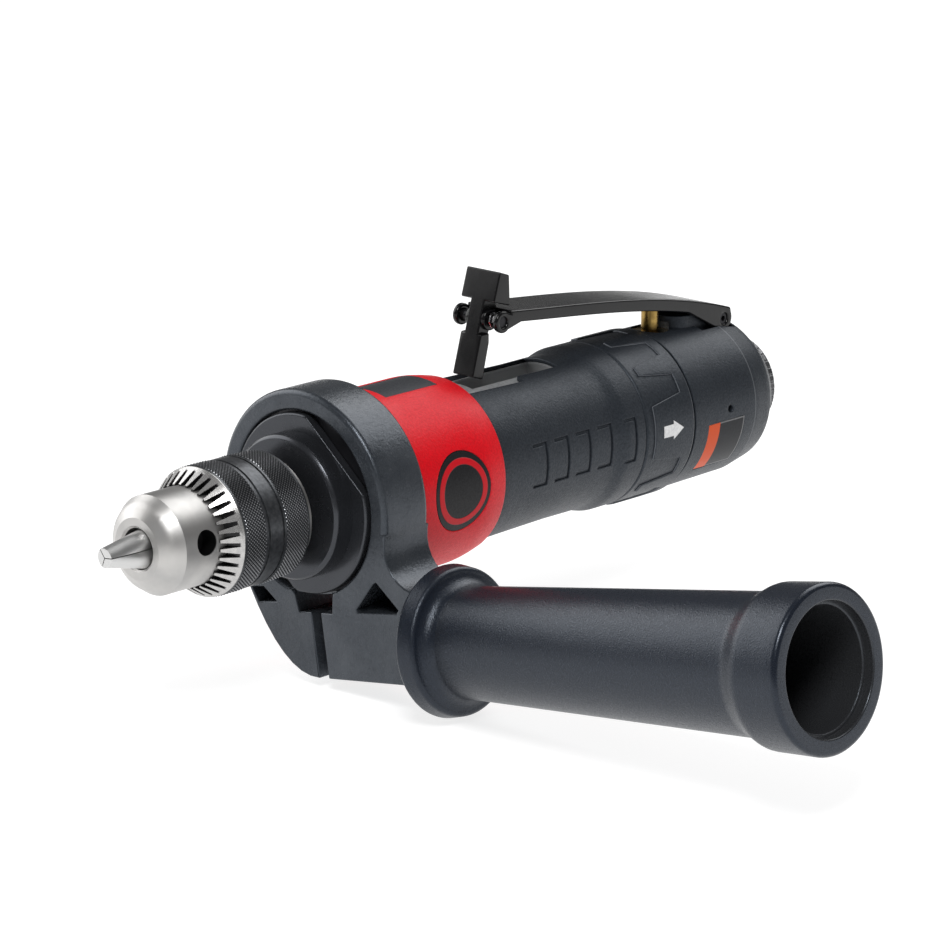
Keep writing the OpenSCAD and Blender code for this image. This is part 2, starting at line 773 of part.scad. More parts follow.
module lock_spring() color("#c4c7cb") {
    room = ear_inner - lock_boss_half;
    pitch = (room - 2 * coil_wire - 2 * free_gap) / coil_curls;
    translate([lock_x, ear_inner - coil_wire - free_gap, lock_z]) rotate([90, 0, 0])
        coil(coil_curls, pitch, coil_radius, coil_wire);
}
module lock_lever() color("#17181a") difference() {
    translate([lock_x, 0, lock_z]) union() {
        side_slab(lock_head_half) polygon([[lock_crown_x, lock_head_height],
            [lock_brow_x, lock_heel + lock_heel_rise],
            [lock_nape_x, lock_heel], [lock_back_x, lock_head_height - lock_crown_drop]]);
        side_slab(lock_neck_half) polygon([[lock_crown_x, lock_head_height / 2],
            [lock_brow_x, lock_heel + lock_heel_rise], [lock_knee_x, -lock_knee_drop],
                [lock_hock_x, -lock_hock_drop],
            [lock_shin_x, -lock_knee_drop / 2], [-lock_boss, 0],
                [-lock_boss, lock_heel + lock_heel_rise / 2]]);
        side_slab(lock_boss_half) circle(r = lock_boss);
        side_slab(lock_leg_half) polygon([[lock_knee_x, -lock_knee_drop],
            [lock_toe_x, lock_toe_rise - lock_foot],
            [lock_sole_x, -lock_foot], [lock_hock_x, -lock_hock_drop], [lock_hock_x, -lock_knee_drop]]);
    }
    cross_pin(lock_x, lock_z, lever_width, lock_pin_radius + run_gap);
}

// Motor case, grip and exhaust ring
module motor_case() color("#9a9da1") difference() {
    turned([[case_bore_rear, ring_rear_x], [journal_radius, ring_rear_x],
        [journal_radius, ring_front_x],
        [case_radius, ring_front_x + free_gap], [case_radius, band_rear_x],
        [case_spigot + run_gap, band_rear_x], [case_spigot + run_gap, band_rear_x - case_spigot_length],
        [motor_radius + seat_gap, band_rear_x - case_spigot_length],
        [motor_radius + seat_gap, rear_plate_x], [case_bore_rear, rear_plate_x]]);
    tube(ring_rear_x + felt_margin, ring_front_x - felt_margin, journal_radius + over, felt_inner);
    for (i = [0 : port_count - 1]) rotate([360 * i / port_count, 0, 0])
        post(ring_rear_x + felt_margin + 2 * port_radius, 0, felt_inner + over, port_radius);
    translate([slot_rear_x, -slot_half, slot_floor])
        cube([slot_front_x - slot_rear_x, 2 * slot_half, case_radius]);
}
module muffler_felt() color("#6d6a62")
    tube(ring_rear_x + felt_margin + seat_gap, ring_front_x - felt_margin - seat_gap, felt_outer,
        felt_inner + seat_gap);
grip_curve = [[ring_front_x + free_gap, grip_rear_radius],
    [ring_front_x + grip_length * grip_swell_share, grip_rear_radius],
    [ring_front_x + grip_length * grip_ease_share, grip_radius + grip_ease_rise],
    [ring_front_x + grip_length * grip_waist_share, grip_radius],
    [band_rear_x - grip_chamfer, grip_front_radius], [band_rear_x,
        grip_front_radius - grip_chamfer / 2]];
module grip_cover() color("#30343a") difference() {
    turned(concat([[case_radius + seat_gap, ring_front_x + free_gap]], [for (p = grip_curve)
        [p[1], p[0]]],
        [[case_radius + seat_gap, band_rear_x]]));
    translate([slot_rear_x, -window_step_half, slot_floor])
        cube([band_rear_x + over - slot_rear_x, 2 * window_step_half, case_radius]);
    translate([window_step_x, -window_half, slot_floor])
        cube([band_rear_x + over - window_step_x, 2 * window_half, case_radius]);
    for (side = [0, 180], i = [0 : bracket_count - 1]) rotate([side, 0, 0])
        bracket(band_rear_x - bracket_first - i * bracket_pitch);
}
// One bracket-shaped groove: an arc round the grip with an arm at each end
module bracket(x) {
    floor_r = lookup(x + bracket_width / 2, grip_curve) - bracket_depth;
    rotate([0, 90, 0]) rotate([0, 0, 90 + bracket_tilt_angle - bracket_half_angle])
        rotate_extrude(angle = 2 * bracket_half_angle) translate([floor_r, x])
            square([2 * over, bracket_width]);
    for (end = [-1, 1]) facing(bracket_tilt_angle + end * bracket_half_angle)
        translate([x, -bracket_width / 2, floor_r]) cube([bracket_arm, bracket_width, 2 * over]);
}
module exhaust_ring() color("#2e3238") union() {
    low = ring_radius - pocket_sink;
    turned([[journal_radius + run_gap, ring_rear_x + free_gap],
        [low - ring_lip, ring_rear_x + free_gap],
        [low, ring_rear_x + free_gap + ring_lip], [low, ring_front_x - ring_lip],
        [low - ring_lip, ring_front_x], [journal_radius + run_gap, ring_front_x]]);
    difference() {
        turned([[low - over, ring_rear_x + free_gap + ring_lip],
            [low, ring_rear_x + free_gap + ring_lip],
            [ring_radius, ring_rear_x + free_gap + 2 * ring_lip],
                [ring_radius, ring_front_x - pocket_front_lip],
            [low - over, ring_front_x - pocket_front_lip]]);
        for (i = [1 : pocket_slots - 1]) if (i != pocket_slots / 2) intersection() {
            tube(ring_rear_x, ring_front_x, ring_radius + over, low);
            facing(pocket_phase_angle + 360 * i / pocket_slots) translate([0, 0, ring_radius / 2])
                linear_extrude(ring_radius) polygon([[ring_rear_x + pocket_rear_lip, -pocket_short],
                    [ring_front_x - pocket_front_lip + over, -pocket_long],
                    [ring_front_x - pocket_front_lip + over, pocket_long],
                    [ring_rear_x + pocket_rear_lip, pocket_short]]);
        }
    }
}
module flow_arrow() color("#e6e7e8") intersection() {
    tube(ring_rear_x, ring_front_x, ring_radius + arrow_rise, ring_radius + seat_gap / 2);
    facing(arrow_angle) translate([0, 0, ring_radius / 2]) linear_extrude(ring_radius)
        translate([ring_rear_x + arrow_margin, 0]) polygon([[0, 0], [arrow_head, arrow_half],
            [arrow_head, arrow_stem],
            [arrow_length, arrow_stem], [arrow_length, -arrow_stem], [arrow_head, -arrow_stem],
            [arrow_head, -arrow_half]]);
}

// Red band and its two bare places
module badge_place(shrink) facing(badge_angle) translate([badge_x, 0, band_radius / 2])
    linear_extrude(band_radius) polygon([for (i = [0 : badge_sides - 1]) let (a = 360 * i / badge_sides)
        [(badge_half_length - shrink) * cos(a), (badge_half_height - shrink) * sin(a)]]);
module window_place(shrink) translate([band_rear_x + top_window_rear + shrink,
    -top_window_half + shrink, 0])
    cube([top_window_front - top_window_rear - 2 * shrink, 2 * top_window_half - 2 * shrink,
        2 * band_radius]);
module band_skin(top, depth) tube(band_rear_x, collar_rear_x, top, band_radius - depth);
module red_band() color("#c3202e") difference() {
    turned(concat([[band_bore + seat_gap, band_rear_x]],
        [for (i = [0 : band_steps]) let (t = i / band_steps)
            [band_edge_radius + (band_radius - band_edge_radius) * sin(90 * t),
                band_rear_x + band_round * t]],
        [[band_radius, collar_rear_x - band_front_gap], [band_bore + seat_gap,
            collar_rear_x - band_front_gap]]));
    intersection() { band_skin(2 * band_radius, badge_depth); badge_place(0); }
    intersection() { band_skin(2 * band_radius, top_window_depth); window_place(0); }
}
module badge_pad() color("#2a2c30") intersection() {
    band_skin(band_radius - badge_sink, badge_depth);
    badge_place(run_gap);
}
module window_pad() color("#3b3e43") intersection() {
    band_skin(band_radius - top_window_sink, top_window_depth);
    window_place(run_gap);
}

// Gear case, nose cap and front bearing
seat_front_x = collar_rear_x + seat_length;
bearing_front_x = bearing_rear_x + bearing_width;
module gear_case() color("#4b4e53") turned([
    [spigot_bore, band_rear_x - case_spigot_length + 2 * seat_gap],
    [case_spigot, band_rear_x - case_spigot_length + 2 * seat_gap], [case_spigot, band_rear_x],
    [band_bore, band_rear_x], [band_bore, collar_rear_x - band_front_gap],
    [seat_radius, collar_rear_x - band_front_gap], [seat_radius, seat_front_x],
    [bearing_radius + seat_gap, seat_front_x], [bearing_radius + seat_gap, bearing_rear_x],
    [race_stop_radius, bearing_rear_x], [race_stop_radius, bearing_rear_x - race_stop],
    [gear_bore, bearing_rear_x - race_stop], [gear_bore, gear_rear_x - seat_gap],
    [spigot_bore, gear_rear_x - seat_gap]]);
module nose_cap() color("#1f2124") difference() {
    turned([[cap_bore, bearing_front_x], [bearing_radius, bearing_front_x],
        [bearing_radius, seat_front_x],
        [cap_step_radius, seat_front_x], [cap_step_radius, cap_step_x - cap_chamfer / 2],
        [cap_step_radius - cap_chamfer / 2, cap_step_x], [cap_nose_radius, cap_step_x],
        [cap_nose_radius, cap_nose_x - cap_chamfer], [cap_nose_radius - cap_chamfer, cap_nose_x],
            [cap_bore, cap_nose_x]]);
    for (side = [0, 180]) facing(cap_flat_angle + side)
        translate([seat_front_x - over, -cap_step_radius, cap_flat])
        cube([cap_step_x - seat_front_x + 2 * over, 2 * cap_step_radius, cap_step_radius]);
}
module bearing_outer() color("#b3b6ba")
    tube(bearing_rear_x, bearing_front_x, bearing_radius, bearing_radius - race_wall);
module bearing_inner() color("#b3b6ba")
    tube(bearing_rear_x, bearing_front_x, shaft_radius + seat_gap + race_wall, shaft_radius + seat_gap);
module bearing_balls() color("#cfd1d4") for (i = [0 : ball_count - 1])
    rotate([360 * i / ball_count, 0, 0])
    translate([(bearing_rear_x + bearing_front_x) / 2, 0, ball_circle]) sphere(r = ball_radius);

// Planetary gear train
carrier_x = gear_front_x + carrier_gap;
module at_planet(i) rotate([planet_angle(i), 0, 0]) translate([0, 0, -planet_circle]) children();
module ring_gear() color("#8b8f95") gear_sketch(gear_rear_x, gear_front_x) difference() {
    circle(r = ring_gear_radius);
    rotate(180 / ring_teeth) polygon(gear_outline(ring_teeth, ring_pitch,
        ring_pitch - addendum, ring_pitch + dedendum, -backlash));
}
module planet(i) color("#a2a6ab") gear_sketch(gear_rear_x, gear_front_x)
    rotate(planet_angle(i)) translate([planet_circle, 0]) rotate(planet_phase(i) - planet_angle(i))
        difference() {
        polygon(gear_outline(planet_teeth, planet_pitch, planet_pitch - dedendum,
            planet_pitch + addendum, backlash));
        circle(r = planet_pin_radius + run_gap);
    }
module planet_1() planet(0);
module planet_2() planet(1);
module planet_3() planet(2);
module planet_pins() color("#c9ccd0") for (i = [0 : planet_count - 1]) at_planet(i)
    rod(gear_rear_x - run_gap, carrier_x + carrier_thickness, planet_pin_radius);
module spindle() color("#8e9297") difference() {
    turned([[0, carrier_x], [carrier_radius, carrier_x], [carrier_radius,
        carrier_x + carrier_thickness],
        [shaft_radius + race_wall / 2, carrier_x + carrier_thickness],
        [shaft_radius + race_wall / 2, bearing_rear_x], [shaft_radius, bearing_rear_x],
        [shaft_radius, body_rear_x], [thread_radius, body_rear_x],
        [thread_radius, body_rear_x + thread_length], [0, body_rear_x + thread_length]]);
    for (i = [0 : planet_count - 1]) at_planet(i)
        rod(carrier_x - over, carrier_x + carrier_thickness + over, planet_pin_radius + seat_gap);
    rod(body_rear_x + thread_length - screw_length - over, body_rear_x + thread_length + over,
        screw_radius + seat_gap);
}

// Vane motor
module motor_cylinder() color("#a7abb0") difference() {
    rod(cylinder_rear_x, front_plate_x, motor_radius);
    translate([0, 0, -motor_offset]) rod(cylinder_rear_x - over, front_plate_x + over, motor_bore);
}
module end_plate(x, pocket) color("#9b9fa4") difference() {
    rod(x, x + plate_length, motor_radius);
    rod(x - over, x + plate_length + over, rotor_shaft + rotor_bearing_inset);
    rod(pocket, pocket + plate_length, rotor_bearing_radius + seat_gap);
}
module front_plate() end_plate(front_plate_x, front_plate_x + rotor_bearing_inset);
module rear_plate() end_plate(rear_plate_x, rear_plate_x - rotor_bearing_inset);
module rotor_bearing(x) color("#b9bcc0")
    tube(x, x + plate_length - 2 * rotor_bearing_inset, rotor_bearing_radius, rotor_shaft + run_gap);
module front_rotor_bearing() rotor_bearing(front_plate_x + rotor_bearing_inset);
module rear_rotor_bearing() rotor_bearing(rear_plate_x + rotor_bearing_inset);
rotor_rear_x = cylinder_rear_x + end_gap;
rotor_front_x = front_plate_x - end_gap;
module rotor() color("#7b7f85") difference() {
    union() {
        turned([[0, rear_plate_x + rotor_bearing_inset], [rotor_shaft,
            rear_plate_x + rotor_bearing_inset],
            [rotor_shaft, rotor_rear_x], [rotor_radius, rotor_rear_x], [rotor_radius, rotor_front_x],
            [rotor_shaft, rotor_front_x], [rotor_shaft, front_plate_x + plate_length],
            [rotor_neck, front_plate_x + plate_length], [rotor_neck, gear_rear_x], [0, gear_rear_x]]);
        gear_sketch(gear_rear_x, gear_front_x) polygon(gear_outline(sun_teeth, sun_pitch,
            sun_pitch - dedendum, sun_pitch + addendum, backlash));
    }
    for (i = [0 : vane_count - 1]) rotate([360 * i / vane_count, 0, 0])
        translate([rotor_rear_x - over, -vane_slot / 2, rotor_radius - vane_depth])
        cube([rotor_front_x - rotor_rear_x + 2 * over, vane_slot, vane_depth + over]);
}
module rotor_vanes() color("#5a3d2b") for (i = [0 : vane_count - 1])
    rotate([360 * i / vane_count, 0, 0])
    translate([rotor_rear_x, -vane_thickness / 2, rotor_radius - vane_depth])
    cube([rotor_front_x - rotor_rear_x, vane_thickness, vane_depth - vane_inset]);

// Keyed chuck
function jaw_envelope(x) = jaw_axis_at_tip + (jaw_tip_x - x) * tan(jaw_angle)
    + jaw_radius / cos(jaw_angle);
module on_jaw_axis(i) facing(jaw_first_angle + 360 * i / jaw_count)
    translate([jaw_tip_x, 0, jaw_axis_at_tip])
    rotate([0, jaw_angle - 90, 0]) children();
module chuck_body() color("#c2c5c9") difference() {
    turned([[0, body_rear_x], [flange_radius, body_rear_x], [flange_radius, sleeve_rear_x + sleeve_lip],
        [body_waist, sleeve_rear_x + sleeve_lip], [body_waist, nut_rear_x - nut_end_gap],
        [nut_core, nut_rear_x - nut_end_gap], [nut_core, nut_rear_x + nut_length + nut_end_gap],
        [body_radius, nut_rear_x + nut_length + nut_end_gap], [body_radius, nose_x - shoulder_back],
        [(body_radius + nose_radius) / 2 + nose_swell, nose_x - shoulder_back / 2 + nose_swell],
        [nose_radius, nose_x], [0, nose_x]]);
    rod(body_rear_x - over, body_rear_x + thread_length + over, thread_radius + seat_gap);
    rod(body_rear_x + thread_length, nose_x + over, bit_bore);
    turned([[0, nose_x - nose_chamfer], [nose_hole - nose_chamfer / 2, nose_x - nose_chamfer],
        [nose_hole + nose_chamfer, nose_x + nose_chamfer / 2], [0, nose_x + nose_chamfer / 2]]);
    for (i = [0 : jaw_count - 1]) {
        on_jaw_axis(i) cylinder(h = jaw_tip_x - body_rear_x, r = jaw_radius + jaw_gap);
        facing(key_hole_first_angle + 360 * i / jaw_count)
            post(key_hole_x, body_radius - key_hole_depth, body_radius + over, key_hole_radius);
    }
}
module chuck_sleeve() color("#1d1e20") difference() {
    turned([[flange_radius + run_gap, sleeve_rear_x], [sleeve_rear_radius - sleeve_chamfer,
        sleeve_rear_x],
        [sleeve_rear_radius, sleeve_rear_x + sleeve_chamfer],
        [sleeve_radius, sleeve_front_x - sleeve_length * groove_share_b],
        [sleeve_radius, sleeve_front_x], [body_radius + tooth_tip, sleeve_front_x + tooth_length],
        [body_radius + run_gap, sleeve_front_x + tooth_length],
            [body_radius + run_gap, nut_rear_x + nut_length],
        [cavity_radius, nut_rear_x + nut_length], [cavity_radius, sleeve_rear_x + sleeve_lip],
        [flange_radius + run_gap, sleeve_rear_x + sleeve_lip]]);
    for (share = [groove_share_a, groove_share_b])
        tube(sleeve_front_x - sleeve_length * share - band_groove,
            sleeve_front_x - sleeve_length * share + band_groove,
            sleeve_radius + over, sleeve_radius - band_groove);
    tooth_lean = atan2(sleeve_radius - body_radius, tooth_floor - tooth_rim);
    tooth_top = tooth_bottom + tooth_depth * tooth_slope_share;
    for (i = [0 : key_teeth - 1]) rotate([360 * i / key_teeth, 0, 0])
        translate([sleeve_front_x + tooth_rim, 0, sleeve_radius]) rotate([0, tooth_lean, 0])
        cross_plate(-over, 2 * tooth_length) polygon([[-tooth_bottom, 0], [tooth_bottom, 0],
            [tooth_top, tooth_depth], [-tooth_top, tooth_depth]]);
}
module chuck_nut() color("#75797e") turned([[jaw_envelope(nut_rear_x) + jaw_envelope_gap, nut_rear_x],
    [cavity_radius - seat_gap, nut_rear_x], [cavity_radius - seat_gap, nut_rear_x + nut_length - seat_gap],
    [jaw_envelope(nut_rear_x + nut_length) + jaw_envelope_gap, nut_rear_x + nut_length - seat_gap]]);
module jaw(i) color("#b4b7bb") intersection() {
    on_jaw_axis(i) translate([0, 0, -jaw_lead]) cylinder(h = jaw_length + jaw_lead, r = jaw_radius);
    facing(jaw_first_angle + 360 * i / jaw_count) cross_plate(jaw_tip_x - jaw_length - jaw_lead,
        jaw_tip_x) polygon([[0, jaw_seam],
        [sleeve_radius * 2 * sin(180 / jaw_count), jaw_seam + 2 * sleeve_radius * cos(180 / jaw_count)],
            [0, 4 * sleeve_radius],
        [-sleeve_radius * 2 * sin(180 / jaw_count), jaw_seam + 2 * sleeve_radius * cos(180 / jaw_count)]]);
}
module jaw_1() jaw(0);
module jaw_2() jaw(1);
module jaw_3() jaw(2);
module chuck_screw() color("#55585d") difference() {
    union() {
        rod(body_rear_x + thread_length - screw_length, body_rear_x + thread_length + screw_slot,
            screw_radius);
        rod(body_rear_x + thread_length, body_rear_x + thread_length + screw_head, screw_head_radius);
    }
    translate([body_rear_x + thread_length + screw_head - screw_slot, -screw_slot / 2,
        -screw_head_radius - over])
        cube([screw_slot + over, screw_slot, 2 * screw_head_radius + 2 * over]);
}

// Clamp collar and side handle
function ear_point(t) = (1 - t) * (1 - t) * ear_start + 2 * t * (1 - t) * ear_bend + t * t * ear_end;
module collar_outline() {
    circle(r = clamp_radius);
    polygon(concat([for (i = [0 : ear_steps]) ear_point(i / ear_steps)],
        [[block_end_y, block_foot], [block_end_y, block_top]],
        arc(fillet_y, fillet_z, fillet_radius, 270, atan2(-fillet_z, -fillet_y), fillet_steps)));
}
module clamp_collar() color("#33363b") clocked() difference() {
    intersection() {
        cross_plate(collar_rear_x, collar_front_x) collar_outline();
        union() {
            turned(concat([[0, collar_rear_x]], arc(clamp_radius - clamp_round,
                collar_rear_x + clamp_round, clamp_round,
                -90, 0, round_steps), arc(clamp_radius - clamp_round, collar_front_x - clamp_round,
                    clamp_round,
                0, 90, round_steps), [[0, collar_front_x]]));
            translate([collar_rear_x, -2 * clamp_radius, 2 * block_foot])
                cube([collar_width, 4 * clamp_radius, -2 * block_foot - clamp_radius / 4]);
        }
    }
    rod(collar_rear_x - over, collar_front_x + over, clamp_bore);
    cross_plate(collar_rear_x - over, collar_front_x + over) {
        translate([slot_y0, block_foot - over]) square([slot_y1 - slot_y0,
            head_high - block_foot + over]);
        polygon([[-head_half, head_high], [head_half, head_high], [head_half - head_slope, head_low],
            [head_slope - head_half, head_low]]);
    }
    cross_plate(collar_front_x - pocket_depth, collar_front_x + over) {
        polygon(clamp_radius * right_pocket_shares);
        polygon(clamp_radius * left_pocket_shares);
    }
    handle_rod(-2 * clamp_radius, bolt_head_y, bolt_head_pocket);
    handle_rod(bolt_head_y - over, block_end_y + over, bolt_hole);
    handle_rod(block_end_y - washer_thickness - seat_gap, block_end_y + over, washer_pocket);
}
module clamp_bolt() color("#a4a8ad") clocked() union() {
    handle_rod(bolt_head_y - bolt_head_thickness, bolt_head_y, bolt_head_radius);
    handle_rod(bolt_head_y - over, bolt_end_y, bolt_radius);
}
module thrust_washer() color("#b7babe") clocked() difference() {
    handle_rod(block_end_y - washer_thickness + seat_gap, block_end_y + free_gap / 2, washer_radius);
    handle_rod(block_end_y - 2 * washer_thickness, block_end_y + over, bolt_radius + free_gap);
}
taper_end_y = flange_y + handle_length * grip_end_share;
rise_y = handle_length * collar_rise_share;
hollow_y = flange_y + hollow_floor;
module side_handle() color("#2f333a") union() {
    difference() {
        handle_spun(concat([[insert_radius, flange_y]],
            arc(flange_front_radius - flange_round, flange_y + flange_round, flange_round, -90, 0,
                round_steps),
            arc(flange_rear_radius - flange_round, flange_y + flange_thickness - flange_round,
                flange_round,
                0, 90, round_steps),
            arc(neck_radius + neck_fillet, flange_y + flange_thickness + neck_fillet, neck_fillet, 270,
                180, fillet_steps),
            [for (i = [0 : fillet_steps]) let (t = i / fillet_steps)
                [grip_end_radius + (handle_end_radius - end_taper - grip_end_radius) * t * t * (3
                    - 2 * t),
                    taper_end_y + rise_y * t]],
            arc(handle_end_radius - flange_round, handle_end_y - flange_round, flange_round, 0, 90,
                round_steps),
            [[insert_radius, handle_end_y]]));
        handle_spun([[0, hollow_y], [hollow_floor_radius, hollow_y],
            [handle_bore - handle_mouth, handle_end_y - 2 * flange_round],
            [handle_bore, handle_end_y - 2 * flange_round], [handle_bore + handle_mouth / 2,
                handle_end_y + over], [0, handle_end_y + over]]);
    }
    clocked() for (i = [0 : rib_count - 1]) translate([handle_x, hollow_y, handle_z])
        rotate([-90, 0, 0])
        rotate(360 * (i + 1 / 2) / rib_count) translate([insert_radius, -rib_half / 2, -over])
        cube([rib_radius - insert_radius, rib_half, rib_length]);
}
module handle_insert() color("#b08b3c") handle_spun([[bolt_radius + run_gap, flange_y + over],
    [insert_radius, flange_y + over],
    [insert_radius, flange_y + insert_length], [bolt_radius + run_gap, flange_y + insert_length]]);

rear_housing();
label_plate();
inlet_bushing();
inlet_seal();
inlet_screen();
valve_guide();
valve_seat();
valve_plug();
valve_spring();
valve_pin();
valve_head();
pivot_pin();
throttle_lever();
lock_pin();
lock_spring();
lock_lever();
motor_case();
muffler_felt();
grip_cover();
exhaust_ring();
flow_arrow();
red_band();
badge_pad();
window_pad();
gear_case();
nose_cap();
bearing_outer();
bearing_inner();
bearing_balls();
ring_gear();
planet_1();
planet_2();
planet_3();
planet_pins();
spindle();
motor_cylinder();
front_plate();
rear_plate();
front_rotor_bearing();
rear_rotor_bearing();
rotor();
rotor_vanes();
chuck_body();
chuck_sleeve();
chuck_nut();
jaw_1();
jaw_2();
jaw_3();
chuck_screw();
clamp_collar();
clamp_bolt();
thrust_washer();
side_handle();
handle_insert();
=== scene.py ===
import math

import bmesh
import bpy
from mathutils import Matrix, Vector


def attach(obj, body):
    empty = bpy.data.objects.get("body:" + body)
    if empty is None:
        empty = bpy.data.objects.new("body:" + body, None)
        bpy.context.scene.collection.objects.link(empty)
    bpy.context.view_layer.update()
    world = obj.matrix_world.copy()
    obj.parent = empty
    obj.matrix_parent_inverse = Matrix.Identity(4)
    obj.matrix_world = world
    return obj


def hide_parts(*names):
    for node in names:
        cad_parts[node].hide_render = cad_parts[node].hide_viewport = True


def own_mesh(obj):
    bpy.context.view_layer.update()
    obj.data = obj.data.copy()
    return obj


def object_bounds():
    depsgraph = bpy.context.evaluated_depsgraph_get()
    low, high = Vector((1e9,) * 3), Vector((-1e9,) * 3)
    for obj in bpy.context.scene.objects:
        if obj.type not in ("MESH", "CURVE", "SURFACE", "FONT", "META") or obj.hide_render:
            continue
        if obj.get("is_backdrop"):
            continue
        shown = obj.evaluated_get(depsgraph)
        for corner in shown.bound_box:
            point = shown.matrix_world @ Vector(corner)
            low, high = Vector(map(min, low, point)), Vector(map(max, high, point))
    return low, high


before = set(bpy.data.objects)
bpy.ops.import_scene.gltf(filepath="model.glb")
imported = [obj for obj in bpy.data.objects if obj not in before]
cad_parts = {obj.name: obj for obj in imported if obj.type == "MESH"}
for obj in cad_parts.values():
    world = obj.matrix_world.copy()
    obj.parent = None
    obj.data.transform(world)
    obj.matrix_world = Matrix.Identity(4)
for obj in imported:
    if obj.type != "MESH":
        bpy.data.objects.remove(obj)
low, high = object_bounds()

# Rear housing: glass-filled nylon moulded in one piece with the saddle that carries the lever's pivot.
# The tool leaves a fine spark-eroded grain, and the mould parts on a thin line round the end.
# A bare label plate with a plain coloured strip lies in a shallow place on its near side.


class Wire:
    """An output socket in a node tree. Arithmetic on it adds Math nodes."""

    def __init__(self, tree, socket):
        self.tree = tree
        self.socket = socket

    def add(self, kind, settings, sockets, output=0):
        """Any node: its type, its settings, and the values or wires of its sockets."""
        node = self.tree.nodes.new(kind)
        for key, value in settings.items():
            setattr(node, key, value)
        for key, value in sockets.items():
            if isinstance(value, Wire):
                self.tree.links.new(value.socket, node.inputs[key])
            else:
                node.inputs[key].default_value = value
        return Wire(self.tree, node.outputs[output])

    def maths(self, operation, first, second=0.0):
        return self.add("ShaderNodeMath", {"operation": operation}, {0: first, 1: second})

    def __add__(self, other):
        return self.maths("ADD", self, other)

    __radd__ = __add__

    def __sub__(self, other):
        return self.maths("SUBTRACT", self, other)

    def __rsub__(self, other):
        return self.maths("SUBTRACT", other, self)

    def __mul__(self, other):
        return self.maths("MULTIPLY", self, other)

    __rmul__ = __mul__

    def __abs__(self):
        return self.maths("ABSOLUTE", self)

    def larger(self, other):
        return self.maths("MAXIMUM", self, other)

    def hypot(self, other):
        """The distance that two lengths at right angles make."""
        return self.maths("SQRT", self * self + other * other)

    def noise(self, scale, detail=2.0, rough=0.5):
        return self.add("ShaderNodeTexNoise", {},
                        {"Vector": self, "Scale": scale, "Detail": detail, "Roughness": rough})

    def lines(self, scale):
        """Noise along one number, such as the marks that a lathe tool leaves along its feed."""
        return self.add("ShaderNodeTexNoise", {"noise_dimensions": "1D"},
                        {"W": self, "Scale": scale, "Detail": 2.0})

    def ramp(self, start, end, first=0.0, last=1.0):
        """A number that goes from first to last while this one goes from start to end."""
        ends = {"From Min": start, "From Max": end, "To Min": first, "To Max": last}
        return self.add("ShaderNodeMapRange", {}, {"Value": self, **ends})

    def spread(self, first=0.0, last=1.0):
        """A noise's middle, where most of it lies, stretched from first to last."""
        return self.ramp(0.3, 0.7, first, last)

    def tint(self, dark, light):
        """A colour between two colours, either of which may be a wire."""
        pair = [end if isinstance(end, Wire) else (*end, 1.0) for end in (dark, light)]
        return self.add("ShaderNodeMix", {"data_type": "RGBA"}, {0: self, 6: pair[0], 7: pair[1]}, output=2)

    def bump(self, strength, distance):
        return self.add("ShaderNodeBump", {}, {"Height": self, "Strength": strength, "Distance": distance})

    def axis(self, index):
        return self.add("ShaderNodeSeparateXYZ", {}, {0: self}, output=index)

    def off_spindle(self):
        """Distance from the tool's axis."""
        return self.axis(1).hypot(self.axis(2))

    def round_spindle(self):
        """Angle round the tool's axis, in radians from the side handle's side upwards."""
        return self.maths("ARCTAN2", self.axis(2), self.axis(1))


class Finish:
    """A Principled material and the object coordinates that its pattern lies on."""

    def __init__(self, name, **constants):
        self.material = bpy.data.materials.new(name)
        self.material.use_nodes = True
        tree = self.material.node_tree
        self.shader = next(node for node in tree.nodes if node.type == "BSDF_PRINCIPLED")
        for key, value in constants.items():
            socket = self.shader.inputs[key.replace("_", " ")]
            socket.default_value = (*value, 1.0) if isinstance(value, tuple) else value
        self.here = Wire(tree, tree.nodes.new("ShaderNodeTexCoord").outputs["Object"])

    def feed(self, **wires):
        for key, wire in wires.items():
            wire.tree.links.new(wire.socket, self.shader.inputs[key.replace("_", " ")])

    def dress(self, slot, *names):
        """Puts the finish on CAD nodes. The slot is not used."""
        for name in names:
            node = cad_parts[name]
            node.data.materials.clear()
            node.data.materials.append(self.material)


cool_sheen = (0.80, 0.88, 1.0)


def moulded(name, dark, light, roughness, grain, depth, gloss=0.35):
    """Moulded plastic: colour, sheen and relief follow one grain, with a little handling shine over it."""
    finish = Finish(name, Specular_IOR_Level=gloss, Specular_Tint=cool_sheen)
    grit = finish.here.noise(grain, 3.0, 0.6)
    shine = finish.here.noise(90.0).spread(-0.04, 0.04)
    finish.colour = grit.spread().tint(dark, light)
    finish.feed(Base_Color=finish.colour,
                Roughness=grit.spread(roughness + 0.06, roughness - 0.06) + shine,
                Normal=grit.bump(0.6, depth))
    return finish


def place(piece_name, shape, finish, body):
    """Makes a bmesh a piece that rides on a body."""
    mesh = bpy.data.meshes.new(piece_name)
    shape.to_mesh(mesh)
    shape.free()
    mesh.materials.append(finish.material)
    piece = bpy.data.objects.new(piece_name, mesh)
    bpy.context.collection.objects.link(piece)
    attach(piece, body)
    return piece


weld = 0.000002
rounded_from = math.radians(35)
creased_from = math.radians(32)


def copied(node):
    """A CAD node's mesh as one merged shape."""
    shape = bmesh.new()
    shape.from_mesh(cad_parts[node].data)
    bmesh.ops.remove_doubles(shape, verts=shape.verts, dist=weld)
    return shape


def round_off(shape, width, inner=0.0, outer=1.0):
    """Rounds the outer edges that lie between two distances from the tool's axis."""
    edges = [edge for edge in shape.edges
             if edge.is_manifold and edge.is_convex and edge.calc_face_angle() > rounded_from
             and all(inner < math.hypot(end.co.y, end.co.z) < outer for end in edge.verts)]
    bmesh.ops.bevel(shape, geom=edges, offset=width, offset_type="OFFSET", affect="EDGES", segments=3,
                    profile=0.5, material=-1)


